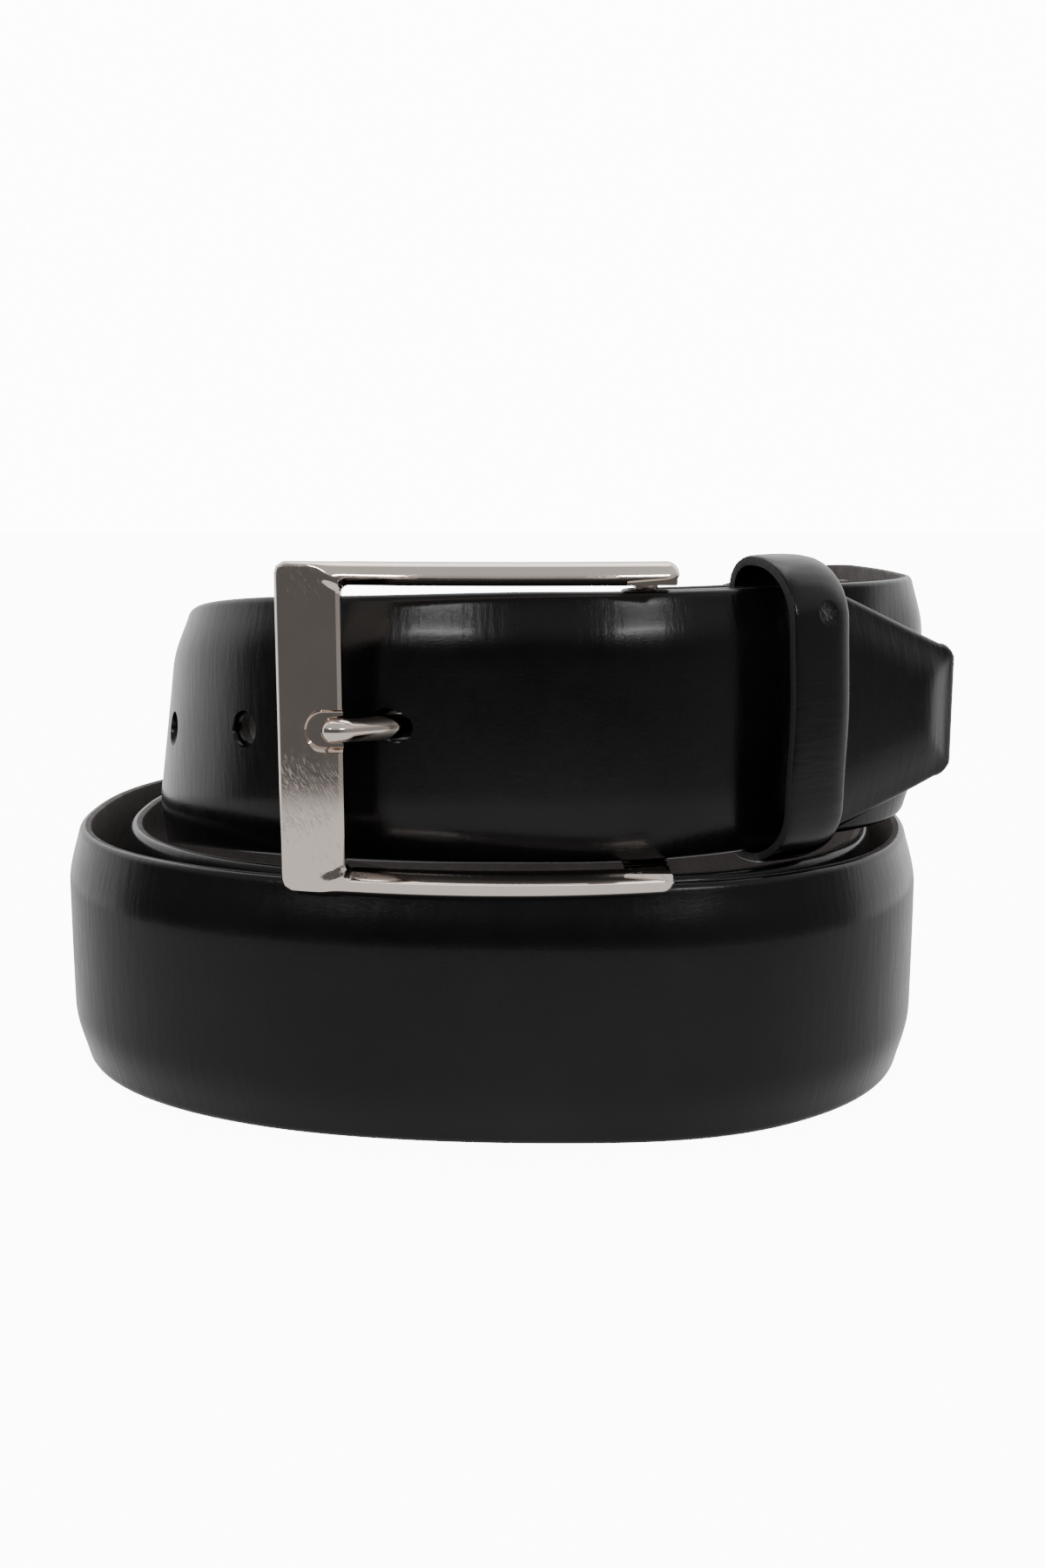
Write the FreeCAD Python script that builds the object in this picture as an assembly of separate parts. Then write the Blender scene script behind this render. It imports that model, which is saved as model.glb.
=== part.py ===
import FreeCAD, Part
import math
import os

# A gentlemen's dress belt, buckled to itself and coiled in three turns.
# Millimetres, +Z up.  The coil stands on Z = 0, the buckle faces -Y and its open side is at +X.
# The belt is followed from its tip: leftwards over the front, then clockwise seen from above.

Vector = FreeCAD.Vector

# ---- strap ----
STRAP_WIDTH = 35.0
LINING_T = 0.9          # lining leather
LEATHER_T = 1.2         # outer leather over the filler
EDGE_LEATHER_T = 0.8    # outer leather skived at the edge
FILLER_T = 1.3          # raised filler between the two leathers
FLAT_HALF = 10.8        # half width of the raised flat
FILLER_HALF = 15.5      # half width of the filler's foot
TIP_END_HALF = 9.6      # half height of the blunt tip
TIP_CORNER_R = 3.0
TIP_TAPER = 25.0        # length over which the tip narrows
TIP_DROOP = 0.9         # how far its end hangs below the strap's line
FILLER_FADE = 12.0      # length over which the filler fades in and out

# ---- coil ----
UPPER_Z = 54.4          # strap centre height on the upper level
FOOT_TRIM = 0.02        # the lower turns' edge is trimmed flat by this much where it stands
LOWER_Z = STRAP_WIDTH / 2 - FOOT_TRIM
AXIS_X = 9.6            # the ovals' common axis
SIDE_REACH = [56.8, 46.0, 64.0, 51.4, 71.6, 51.6]    # left, right, left, ... of each half turn
DEPTH_REACH = [47.9, 42.0, 47.6, 47.6, 51.7, 53.2]   # front, back, front, ... of each half turn
EARLY_DROP = 1.6                 # the upper turn sags this much over its first angles
EARLY_END = 60.0
LEVEL_DROP = (40.0, 235.0)       # turn angles between which the strap goes down a level
LEVEL_RISE = (830.0, 965.0)      # and up again
LEAN_DEG = 8.0                   # the free upper turn leans out at its foot on the left
RISE_SWELL = 2.2        # the strap stands off where it climbs over the turn below
NEST_DIP = 1.0          # and draws in where it runs inside the next turn
LAP_STEP = 9.0
COIL_END = 990.0

# ---- tip, fold and buckle end ----
BEND_X = 9.6
BEND_RADIUS = 42.0
BEND_DEG = 31.0
TIP_STRAIGHT = 39.8
LAYER_GAP = 0.35
FILLER_STOP = 26.0      # from the fold to where the filler has faded out
FILLER_LEAST = 0.15     # share of the full filler below which it is left out
END_CORNER_R = 30.0
TAIL_LENGTH = 27.0

# ---- holes ----
HOLE_D = 4.4
HOLE_PITCH = 21.5
HOLE_COUNT = 5
FIRST_HOLE = 85.4       # from the tip's end to the hole in use

# ---- buckle ----
BAR_R = 1.6
RUNNING_FIT = 0.05
BAR_X = 20.3
FRAME_LEFT = -26.8
FRAME_RIGHT = 23.7
FRAME_FRONT_Y = -56.5
FRAME_BOW_R = 90.0
FRAME_BOW_X = 3.0
FRAME_Z = 54.75
FRAME_HALF = 21.05
WINDOW_HALF = 18.1
FRAME_ROUND = 1.4
WINDOW_ROUND = 1.0
FRONT_BAR_W = 8.5
FRONT_BAR_T = 3.2
ARM_T = 4.2
LUG_R = 3.1
LUG_Z = (35.35, 36.55)
REST_DEPTH = 1.1        # shallow recess round the prong's tip
REST_LENGTH = 4.8
REST_HALF = 2.35
PRONG_R = 1.6
PRONG_GAP = 0.3         # between the prong and its seat in the front bar
PRONG_TIP = (-19.4, -52.9)
PRONG_TOE = (-18.5, -52.9)       # where the prong turns to lie along the front bar
PRONG_KNEE = (-9.7, -44.1)       # where it turns to come through the strap
KNEE_R = 14.0
TOE_R = 2.1
PRONG_ROOM = 0.4        # round the prong in the strap's hole
PRONG_SWING_DEG = 2.0   # how far the hole lets it swing out
PRONG_EYE_R = 3.0
EYE_SLOT_HALF = 2.7

# ---- keeper ----
KEEPER_W = 9.5
KEEPER_T = 1.2
KEEPER_LAP_T = 1.0      # thickness of the lap at its back
KEEPER_LAP_HALF = 7.0
KEEPER_ROUND = 1.8
KEEPER_INNER_ROUND = 0.6
KEEPER_S = 8.05         # from the end of the bend to the keeper's middle
KEEPER_BACK = -3.0
KEEPER_FRONT = 8.8
KEEPER_LOW = 36.55
KEEPER_HIGH = 74.8
STAPLE_WIRE = 0.5
STAPLE_W = 6.0
STAPLE_RISE = 3.0       # each staple's distance above or below the buckle's middle

# ---- press studs ----
STUD_OFFSET = 9.8       # from the keeper's middle
STUD_R = 3.0
NUB_R = 1.7
SOCKET_R = 3.2
CAP_R = 3.8
CAP_T = 0.9
POST_R = 1.2
PLATE_T = 0.2
POST_DEPTH = 1.6        # how far the post is riveted into the stud
STUD_FACE = 0.7         # thickness of the stud's disc
NUB_END = 2.0
SOCKET_TOP = 1.1        # depth below the outer leg where the socket starts
SOCKET_FLOOR = 2.8
CAP_ROUND = 0.5

FOLD_T = LINING_T + LEATHER_T
FOLD_R = BAR_R + RUNNING_FIT
FOLD_GAP = 2 * FOLD_R
BEND_CENTRE_Y = BEND_RADIUS - DEPTH_REACH[0]
INNER_BEND_R = BEND_RADIUS - FOLD_T - LAYER_GAP
BAR_SPREAD = INNER_BEND_R - FOLD_R
BAR_DEG = math.degrees(math.asin((BAR_X - BEND_X) / BAR_SPREAD))


def smooth(x):
    x = min(1.0, max(0.0, x))
    return x * x * (3 - 2 * x)


def eased(x, ease=0.25):
    """0 to 1 at a steady rate, with a gentle start and stop."""
    x = min(1.0, max(0.0, x))
    rate = 1 / (1 - ease)
    if x < ease:
        return rate * x * x / (2 * ease)
    if x > 1 - ease:
        return 1 - rate * (1 - x) ** 2 / (2 * ease)
    return rate * (x - ease / 2)


def bump(x, centre, reach):
    off = abs(x - centre) / reach
    return math.cos(off * math.pi / 2) ** 2 if off < 1 else 0.0


def reach_at(values, turn, first):
    """Reach of the oval at a turn angle; it changes from value to value midway between them."""
    k = (turn - first) / 180.0
    low = min(len(values) - 1, max(0, math.floor(k)))
    high = min(len(values) - 1, low + 1)
    change = smooth(((k - low) * 180 - 50) / 80)
    return values[low] + (values[high] - values[low]) * change


def lap_point(turn):
    """Middle of the strap's inner face at a turn angle: 0 front, 90 left, 180 back, 270 right."""
    side = reach_at(SIDE_REACH, turn, 90.0)
    depth = reach_at(DEPTH_REACH, turn, 0.0)
    square = 2.0 + 0.38 * smooth((turn - 90) / 200)
    phi = math.radians(turn)
    s, c = abs(math.sin(phi)), abs(math.cos(phi))
    radius = ((s / side) ** square + (c / depth) ** square) ** (-1 / square)
    radius += RISE_SWELL * bump(turn, 940, 45) - NEST_DIP * bump(turn, 585, 45)
    rise = UPPER_Z - LOWER_Z
    z = UPPER_Z - EARLY_DROP * smooth(turn / EARLY_END)
    z -= (rise - EARLY_DROP) * eased((turn - LEVEL_DROP[0]) / (LEVEL_DROP[1] - LEVEL_DROP[0]))
    z += rise * eased((turn - LEVEL_RISE[0]) / (LEVEL_RISE[1] - LEVEL_RISE[0]))
    return Vector(AXIS_X - radius * math.sin(phi), -radius * math.cos(phi), z)


class Station:
    """One cross-section of the strap: where it is, which way is out and which way is up."""

    def __init__(self, pos, ahead, lean=0.0):
        self.pos = pos
        self.ahead = ahead.normalize()
        flat = Vector(-self.ahead.y, self.ahead.x, 0).normalize()
        up = flat.cross(self.ahead) * -1
        roll = math.radians(lean)
        self.out = flat * math.cos(roll) + up * math.sin(roll)
        self.up = up * math.cos(roll) - flat * math.sin(roll)
        self.half = STRAP_WIDTH / 2
        self.filler = 1.0
        self.run = 0.0

    def at(self, u, w):
        return self.pos + self.out * u + self.up * w


def heading(deg):
    return Vector(math.cos(math.radians(deg)), math.sin(math.radians(deg)), 0)


def left_of(deg):
    return heading(deg + 90)


def line_stations(start, deg, marks):
    return [Station(start + heading(deg) * m, heading(deg)) for m in marks]


def arc_stations(centre, radius, degs):
    """Stations on an arc about a centre; a negative radius turns left instead of right."""
    return [Station(centre + left_of(d) * radius, heading(d)) for d in degs]


def steps(first, last, count):
    return [first + (last - first) * i / count for i in range(count + 1)]


def bend_centre():
    return Vector(BEND_X, BEND_CENTRE_Y, UPPER_Z)


def bar_centre():
    return bend_centre() + left_of(180 + BAR_DEG) * BAR_SPREAD


def end_run():
    """Length of the straight between the end corner and the bend, on the buckle end."""
    side = AXIS_X + SIDE_REACH[-1]
    bend_end = bend_centre() + left_of(180 + BEND_DEG) * INNER_BEND_R
    corner_x = bend_end.x - END_CORNER_R * left_of(180 + BEND_DEG).x + END_CORNER_R
    return (side - corner_x) / math.cos(math.radians(BEND_DEG))


def tip_stations():
    deg = 180 + BEND_DEG
    start = bend_centre() + left_of(deg) * BEND_RADIUS - heading(deg) * TIP_STRAIGHT
    marks = [0, 0.4, 1.0, 1.8, TIP_CORNER_R, 9, 15, 20, TIP_TAPER, 32, TIP_STRAIGHT]
    bend = steps(deg, 180, 5)[1:-1]
    return line_stations(start, deg, marks) + arc_stations(bend_centre(), BEND_RADIUS, bend)


def coil_stations():
    made = []
    for i in range(int(COIL_END / LAP_STEP) + 1):
        turn = i * LAP_STEP
        ahead = lap_point(turn + 0.2) - lap_point(max(0.0, turn - 0.2))
        if turn == 0:
            ahead = heading(180)
        made.append(Station(lap_point(turn), ahead, LEAN_DEG * bump(turn, 95, 85)))
    return made


def buckle_end_stations():
    """Down the right side, round the end corner, along to the bar, round it and back inside."""
    deg, bar_deg = 180 + BEND_DEG, 180 + BAR_DEG
    run = end_run()
    bend_end = bend_centre() + left_of(deg) * INNER_BEND_R
    corner = bend_end - heading(deg) * run - left_of(deg) * END_CORNER_R
    made = arc_stations(corner, END_CORNER_R, steps(270, deg, 7))
    made += line_stations(bend_end - heading(deg) * run, deg, [run / 2])
    made += arc_stations(bend_centre(), INNER_BEND_R, steps(deg, bar_deg, 3))
    made += arc_stations(bar_centre(), FOLD_R, steps(bar_deg, bar_deg - 180, 12)[1:])
    back_r = INNER_BEND_R - FOLD_GAP
    made += arc_stations(bend_centre(), -back_r, steps(BAR_DEG, BEND_DEG, 3)[1:])
    back_end = bend_end - left_of(deg) * FOLD_GAP
    made += line_stations(back_end, BEND_DEG, [run / 2])
    tail_deg = math.degrees((TAIL_LENGTH - run) / (END_CORNER_R - FOLD_GAP))
    made += arc_stations(corner, FOLD_GAP - END_CORNER_R, steps(BEND_DEG, BEND_DEG + tail_deg, 2))
    return made


def tip_half(run):
    if run < TIP_CORNER_R:
        rest = TIP_CORNER_R - run
        return TIP_END_HALF - TIP_CORNER_R + math.sqrt(max(0.0, TIP_CORNER_R ** 2 - rest ** 2))
    full = STRAP_WIDTH / 2
    return min(full, TIP_END_HALF + (full - TIP_END_HALF) * (run - TIP_CORNER_R) / (TIP_TAPER - TIP_CORNER_R))


def strap_stations():
    made = tip_stations() + coil_stations() + buckle_end_stations()
    for before, here in zip(made, made[1:]):
        here.run = before.run + (here.pos - before.pos).Length
    fold_end = made[-1].run
    filler_end = fold_end - 2 * TAIL_LENGTH - FILLER_STOP
    for s in made:
        s.half = tip_half(s.run)
        s.pos.z -= TIP_DROOP * smooth(1 - s.run / TIP_TAPER)
        s.filler = smooth((s.run - 2) / FILLER_FADE) * smooth((filler_end - s.run) / FILLER_FADE)
    return made


def lining_outline(_):
    edge = STRAP_WIDTH / 2
    return [(0, -edge), (LINING_T, -edge), (LINING_T, edge), (0, edge)]


def filler_top(s):
    return LINING_T + FILLER_T * s.filler


def filler_outline(s):
    top = filler_top(s)
    return [(LINING_T, -FILLER_HALF), (top, -FLAT_HALF), (top, FLAT_HALF), (LINING_T, FILLER_HALF)]


def leather_outline(s):
    edge, base = STRAP_WIDTH / 2, LINING_T
    top, under = filler_top(s) + LEATHER_T, filler_top(s)
    rim = base + EDGE_LEATHER_T
    return [(base, -edge), (rim, -edge), (top, -FLAT_HALF), (top, FLAT_HALF), (rim, edge), (base, edge),
            (base, FILLER_HALF), (under, FLAT_HALF), (under, -FLAT_HALF), (base, -FILLER_HALF)]


def strap_layer(stations, outline):
    wires = []
    for s in stations:
        narrow = s.half * 2 / STRAP_WIDTH
        points = [s.at(u, w * narrow) for u, w in outline(s)]
        wires.append(Part.makePolygon(points + points[:1]))
    return Part.makeLoft(wires, True, True)


def run_point(stations, run):
    """Place on the strap at a distance from the tip's end."""
    for a, b in zip(stations, stations[1:]):
        if a.run <= run <= b.run:
            f = (run - a.run) / (b.run - a.run)
            return Station(a.pos + (b.pos - a.pos) * f, a.ahead * (1 - f) + b.ahead * f)
    raise ValueError(run)


def rod(centre, direction, radius, low, high):
    return Part.makeCylinder(radius, high - low, centre + direction * low, direction)


def prong_direction():
    """Direction of the prong where it comes through the strap."""
    return (Vector(*PRONG_TOE, 0) - Vector(*PRONG_KNEE, 0)).normalize()


def hole_tools(stations):
    """Round punched holes, and the one that the prong slants through, with room for its swing."""
    tools = []
    for i in range(1, HOLE_COUNT):
        s = run_point(stations, FIRST_HOLE + i * HOLE_PITCH)
        tools.append(rod(s.pos, s.out, HOLE_D / 2, -1.5, LINING_T + FILLER_T + LEATHER_T + 1.5))
    along = prong_direction()
    tools.append(rod(Vector(*PRONG_KNEE, FRAME_Z), along, HOLE_D / 2, -3, 13))
    root, knee, _, toe, tip = prong_corners()
    for turned in steps(0, PRONG_SWING_DEG, 2):
        room = thick_path(prong_path([root, knee, toe, tip]), PRONG_R + PRONG_ROOM)
        room.rotate(bar_centre(), Vector(0, 0, 1), turned)
        tools.append(room)
    return tools


def fold_slot():
    """Slot in the fold that the prong's eye turns in."""
    base = bar_centre()
    base.z = FRAME_Z - EYE_SLOT_HALF
    reach = FOLD_R + FOLD_T + LAYER_GAP / 2
    return Part.makeCylinder(reach, 2 * EYE_SLOT_HALF, base)


def stud_places():
    """Centre and outward direction of each press stud, on the buckle end's inner face."""
    deg = 180 + BEND_DEG
    bend_end = bend_centre() + left_of(deg) * INNER_BEND_R
    near = STUD_OFFSET - KEEPER_S
    near_deg = deg - math.degrees(near / INNER_BEND_R)
    first = bend_centre() + left_of(near_deg) * INNER_BEND_R
    second = bend_end - heading(deg) * (KEEPER_S + STUD_OFFSET)
    return [(first, left_of(near_deg)), (second, left_of(deg))]


def snap_post(p, out):
    flange = rod(p, out, STUD_R, FOLD_T, FOLD_T + PLATE_T)
    return flange.fuse(rod(p, out, POST_R, -POST_DEPTH, FOLD_T)).removeSplitter()


def snap_stud(p, out):
    body = rod(p, out, STUD_R, -STUD_FACE, 0).fuse(rod(p, out, NUB_R, -NUB_END, -STUD_FACE))
    return body.cut(rod(p, out, POST_R, -POST_DEPTH, 0)).removeSplitter()


def snap_socket(p, out):
    well = rod(p, out, NUB_R + 0.1, -SOCKET_FLOOR, -SOCKET_TOP)
    body = rod(p, out, SOCKET_R, -FOLD_GAP, -SOCKET_TOP).cut(well)
    return body.cut(rod(p, out, POST_R, -FOLD_GAP, -SOCKET_FLOOR))


def snap_cap(p, out):
    face = -FOLD_GAP - FOLD_T
    cap = rod(p, out, CAP_R, face - CAP_T, face)
    rim = [e for e in cap.Edges if e.Closed and abs((e.CenterOfMass - p).dot(out) - face + CAP_T) < 0.01]
    cap = cap.makeFillet(CAP_ROUND, rim)
    return cap.fuse(rod(p, out, POST_R, face, -SOCKET_FLOOR)).removeSplitter()


def seated(maker, leather):
    """One press-stud piece at each place, trimmed to the leather that it sits against."""
    return Part.makeCompound([maker(p, out).cut(leather) for p, out in stud_places()])


def leather_drills():
    drills = []
    for p, out in stud_places():
        drills.append(rod(p, out, POST_R, -0.05, FOLD_T + 0.05))
        drills.append(rod(p, out, POST_R, -FOLD_GAP - FOLD_T - 0.05, -FOLD_GAP + 0.05))
    return drills


def bow_shell(depth):
    """Upright slab between the frame's bowed front and a surface a depth behind it."""
    centre = Vector(FRAME_BOW_X, FRAME_FRONT_Y + FRAME_BOW_R, 0)
    outer = Part.makeCylinder(FRAME_BOW_R, 100, centre)
    inner = Part.makeCylinder(FRAME_BOW_R - depth, 100, centre)
    return outer.cut(inner).common(Part.makeBox(80, 24, 100, Vector(-40, FRAME_FRONT_Y - 1, 0)))


def upright_plate(left, right, low, high, radius):
    """Block through the frame's depth with its four long edges rounded."""
    box = Part.makeBox(right - left, 30, high - low, Vector(left, FRAME_FRONT_Y - 5, low))
    edges = [e for e in box.Edges if abs(e.tangentAt(e.FirstParameter).y) > 0.9]
    return box.makeFillet(radius, edges)


def coil_clearance():
    """Space of the lower turns under the frame, with a little room."""
    points = []
    for turn in range(630, 811, 6):
        place = Station(lap_point(turn), lap_point(turn + 0.2) - lap_point(turn - 0.2))
        points.append(place.at(LINING_T + EDGE_LEATHER_T + 0.75, 0))
    flat = [Vector(p.x, p.y, 0) for p in points]
    return Part.Face(Part.makePolygon(flat + flat[:1])).extrude(Vector(0, 0, LUG_Z[0]))


def frame_lug(low, high):
    bar = bar_centre()
    block = Part.makeBox(2 * LUG_R, bar.y - FRAME_FRONT_Y - 2.6, high - low,
                         Vector(bar.x - LUG_R, FRAME_FRONT_Y + 2.6, low))
    return block.fuse(Part.makeCylinder(LUG_R, high - low, Vector(bar.x, bar.y, low)))


def buckle_frame():
    low, high = FRAME_Z - FRAME_HALF, FRAME_Z + FRAME_HALF
    outline = upright_plate(FRAME_LEFT, FRAME_RIGHT, low, high, FRAME_ROUND)
    inner = FRAME_LEFT + FRONT_BAR_W
    window = upright_plate(inner, 60, FRAME_Z - WINDOW_HALF, FRAME_Z + WINDOW_HALF, WINDOW_ROUND)
    body = bow_shell(ARM_T).common(outline).cut(window)
    band = Part.makeBox(FRONT_BAR_W + 1, 60, 60, Vector(FRAME_LEFT - 1, FRAME_FRONT_Y - 5, 24))
    body = body.cut(band).fuse(body.common(band).common(bow_shell(FRONT_BAR_T)))
    for lug_low, lug_high in (LUG_Z, (2 * FRAME_Z - LUG_Z[1], 2 * FRAME_Z - LUG_Z[0])):
        body = body.fuse(frame_lug(lug_low, lug_high))
    body = body.cut(coil_clearance()).cut(prong_rest()).cut(heel_bar())
    return body.removeSplitter()


def prong_rest():
    """Shallow recess in the front bar's face, with a deeper seat under the prong."""
    inner = FRAME_LEFT + FRONT_BAR_W
    low, high = FRAME_Z - REST_HALF, FRAME_Z + REST_HALF
    recess = upright_plate(inner - REST_LENGTH, inner + 6, low, high, REST_HALF - 0.05)
    path = prong_path(prong_corners()[2:])
    return recess.common(bow_shell(REST_DEPTH)).fuse(thick_path(path, PRONG_R + PRONG_GAP))


def heel_bar():
    bar = bar_centre()
    top = 2 * FRAME_Z - LUG_Z[0]
    return Part.makeCylinder(BAR_R, top - LUG_Z[0], Vector(bar.x, bar.y, LUG_Z[0]))


def prong_corners():
    """Root, knee, point on the slant, toe and tip, with the radius of the bend at each."""
    bar = bar_centre()
    knee, toe = Vector(*PRONG_KNEE, FRAME_Z), Vector(*PRONG_TOE, FRAME_Z)
    root = Vector(bar.x, bar.y, FRAME_Z)
    root += (knee - root).normalize() * (PRONG_EYE_R - 0.8)
    return [(root, 0), (knee, KNEE_R), ((knee + toe) / 2, 0), (toe, TOE_R), (Vector(*PRONG_TIP, FRAME_Z), 0)]


def prong_path(corners):
    """Straight runs joined by arcs that touch them."""
    edges, here = [], corners[0][0]
    for (before, _), (corner, radius), (after, _) in zip(corners, corners[1:], corners[2:]):
        if not radius:
            continue
        back, ahead = (before - corner).normalize(), (after - corner).normalize()
        half = (math.pi - back.getAngle(ahead)) / 2
        reach = radius * math.tan(half)
        start, end = corner + back * reach, corner + ahead * reach
        middle = corner + (back + ahead).normalize() * (radius / math.cos(half) - radius)
        edges += [Part.LineSegment(here, start).toShape(), Part.Arc(start, middle, end).toShape()]
        here = end
    return Part.Wire(edges + [Part.LineSegment(here, corners[-1][0]).toShape()])


def thick_path(path, radius):
    """Round rod along a path, with a ball at its far end."""
    first = path.OrderedEdges[0]
    start, end = path.OrderedVertexes[0].Point, path.OrderedVertexes[-1].Point
    section = Part.Wire([Part.makeCircle(radius, start, first.tangentAt(first.FirstParameter))])
    return path.makePipeShell([section], True, True).fuse(Part.makeSphere(radius, end))


def prong():
    bar = bar_centre()
    foot = Vector(bar.x, bar.y, FRAME_Z)
    root, knee, _, toe, tip = prong_corners()
    eye = Part.makeCylinder(PRONG_EYE_R, 2 * EYE_SLOT_HALF - 1.0, foot - Vector(0, 0, EYE_SLOT_HALF - 0.5))
    bore = Part.makeCylinder(FOLD_R, 20, foot - Vector(0, 0, 10))
    return thick_path(prong_path([root, knee, toe, tip]), PRONG_R).fuse(eye).cut(bore).removeSplitter()


def keeper_place():
    deg = 180 + BEND_DEG
    middle = bend_centre() + left_of(deg) * BEND_RADIUS - heading(deg) * KEEPER_S
    middle.z = 0
    return middle, heading(deg), left_of(deg)


def keeper_block(back, front, low, high, radius, width):
    """Rounded block round the strap: back and front are measured outwards from the tip's inner face."""
    middle, along, out = keeper_place()
    box = Part.makeBox(width, front - back, high - low)
    edges = [e for e in box.Edges if abs(e.tangentAt(e.FirstParameter).x) > 0.9]
    if radius:
        box = box.makeFillet(radius, edges)
    corner = middle - along * (width / 2) + out * back + Vector(0, 0, low)
    box.Placement = FreeCAD.Placement(corner, FreeCAD.Rotation(along, out, Vector(0, 0, 1), "XYZ"))
    return box


def keeper_staples():
    """Two wire staples that hold the keeper's lapped ends together."""
    middle, along, out = keeper_place()
    back = KEEPER_BACK - KEEPER_T - KEEPER_LAP_T
    made = []
    for z in (FRAME_Z - STAPLE_RISE, FRAME_Z + STAPLE_RISE):
        base = middle + Vector(0, 0, z)
        crown = Part.makeBox(STAPLE_W, STAPLE_WIRE, STAPLE_WIRE)
        crown.Placement = FreeCAD.Placement(base - along * (STAPLE_W / 2) + out * (back - STAPLE_WIRE / 2),
                                            FreeCAD.Rotation(along, out, Vector(0, 0, 1), "XYZ"))
        for side in (0, STAPLE_W - STAPLE_WIRE):
            leg = Part.makeBox(STAPLE_WIRE, KEEPER_T + KEEPER_LAP_T, STAPLE_WIRE)
            leg.Placement = FreeCAD.Placement(base + along * (side - STAPLE_W / 2) + out * back,
                                              FreeCAD.Rotation(along, out, Vector(0, 0, 1), "XYZ"))
            crown = crown.fuse(leg)
        made.append(crown.removeSplitter())
    return Part.makeCompound(made)


def keeper_loop():
    t = KEEPER_T
    low, high = KEEPER_LOW, KEEPER_HIGH
    outer = keeper_block(KEEPER_BACK - t, KEEPER_FRONT + t, low - t, high + t, KEEPER_ROUND, KEEPER_W)
    inner = keeper_block(KEEPER_BACK, KEEPER_FRONT, low, high, KEEPER_INNER_ROUND, KEEPER_W + 2)
    lap = keeper_block(KEEPER_BACK - t - KEEPER_LAP_T, KEEPER_BACK - t,
                       FRAME_Z - KEEPER_LAP_HALF, FRAME_Z + KEEPER_LAP_HALF, 0, KEEPER_W)
    return outer.cut(inner).fuse(lap).removeSplitter().cut(keeper_staples())


def save(name, shape):
    print(name, "valid", shape.isValid(), "solids", len(shape.Solids), "volume", round(shape.Volume, 1))
    shape.exportStep(os.path.join("parts", name + ".step"))


def main():
    os.makedirs("parts", exist_ok=True)
    stations = strap_stations()
    filled = [s for s in stations if s.filler > FILLER_LEAST]
    floor = Part.makeBox(200, 200, 10, Vector(-100, -100, -10))
    cuts = hole_tools(stations) + [fold_slot(), floor] + leather_drills()
    print("strap length", round(stations[-1].run, 1), "bar", bar_centre(), "stations", len(stations))
    fold = [strap_layer(stations[-len(buckle_end_stations()):], o) for o in (leather_outline, lining_outline)]
    fold = [layer.cut(leather_drills()) for layer in fold]
    save("strap_leather", strap_layer(stations, leather_outline).cut(cuts))
    save("strap_filler", strap_layer(filled, filler_outline).cut(cuts))
    save("strap_lining", strap_layer(stations, lining_outline).cut(cuts))
    save("buckle_frame", buckle_frame())
    save("heel_bar", heel_bar())
    save("prong", prong())
    save("keeper_loop", keeper_loop())
    save("keeper_staples", keeper_staples())
    for name, maker in (("snap_posts", snap_post), ("snap_studs", snap_stud),
                        ("snap_sockets", snap_socket), ("snap_caps", snap_cap)):
        save(name, seated(maker, fold))


main()
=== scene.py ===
import math

import bmesh
import bpy
from mathutils import Matrix, Vector


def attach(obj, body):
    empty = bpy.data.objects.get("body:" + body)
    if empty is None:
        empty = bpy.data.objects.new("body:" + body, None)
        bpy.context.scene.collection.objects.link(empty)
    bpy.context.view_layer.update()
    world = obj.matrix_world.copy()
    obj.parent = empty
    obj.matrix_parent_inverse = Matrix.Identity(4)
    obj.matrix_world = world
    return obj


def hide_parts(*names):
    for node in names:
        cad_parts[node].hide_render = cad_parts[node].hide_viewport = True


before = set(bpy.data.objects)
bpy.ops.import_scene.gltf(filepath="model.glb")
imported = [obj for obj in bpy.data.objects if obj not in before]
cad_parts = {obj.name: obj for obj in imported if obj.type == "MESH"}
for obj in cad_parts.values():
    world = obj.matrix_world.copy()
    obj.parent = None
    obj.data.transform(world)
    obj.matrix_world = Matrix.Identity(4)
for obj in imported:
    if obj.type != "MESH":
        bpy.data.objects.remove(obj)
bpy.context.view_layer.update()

# Lengths below are in millimetres, along the same path as the CAD strap; MM turns them into metres.
MM = 0.001
UV_UNIT = 10 * MM            # texture units for each millimetre of strap

# ---- strap section ----
STRAP_WIDTH = 35.0
LINING_T = 0.9
LEATHER_T = 1.2
EDGE_T = 0.8             # leather at the strap's edge
FILLER_T = 1.3
FLAT_HALF = 10.8
FILLER_HALF = 15.5
EDGE_ROLL = 0.8          # radius of the rolled edge
EDGE_LEAST = 0.25        # share of the edge's thickness at its very end
SLOPE_W = 8.2            # from the edge to the raised flat
TIP_END_HALF = 9.6
TIP_CORNER_R = 3.0
TIP_TAPER = 25.0
TIP_DROOP = 0.9
FILLER_FADE = 12.0
TIP_FADE = 8.0           # the raised middle starts sooner at the tip

# ---- coil ----
UPPER_Z = 54.4
LOWER_Z = STRAP_WIDTH / 2 - 0.02
AXIS_X = 9.6
SIDE_REACH = [56.8, 46.0, 64.0, 51.4, 71.6, 51.6]
DEPTH_REACH = [47.9, 42.0, 47.6, 47.6, 51.7, 53.2]
EARLY_DROP = 1.6
EARLY_END = 60.0
LEVEL_DROP = (40.0, 235.0)
LEVEL_RISE = (830.0, 965.0)
LEAN_DEG = 8.0
LEAN_SPAN = (95.0, 85.0)     # turn angle where the lean is greatest, and how far it reaches
RISE_SWELL = 2.2
SWELL_SPAN = (940.0, 45.0)
NEST_DIP = 1.0
NEST_SPAN = (585.0, 45.0)
SQUARE_GAIN = 0.38           # the lower turns are squarer in plan than the top one
REACH_HOLD = 50.0            # of each half turn, the degrees before the reach starts to change
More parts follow.
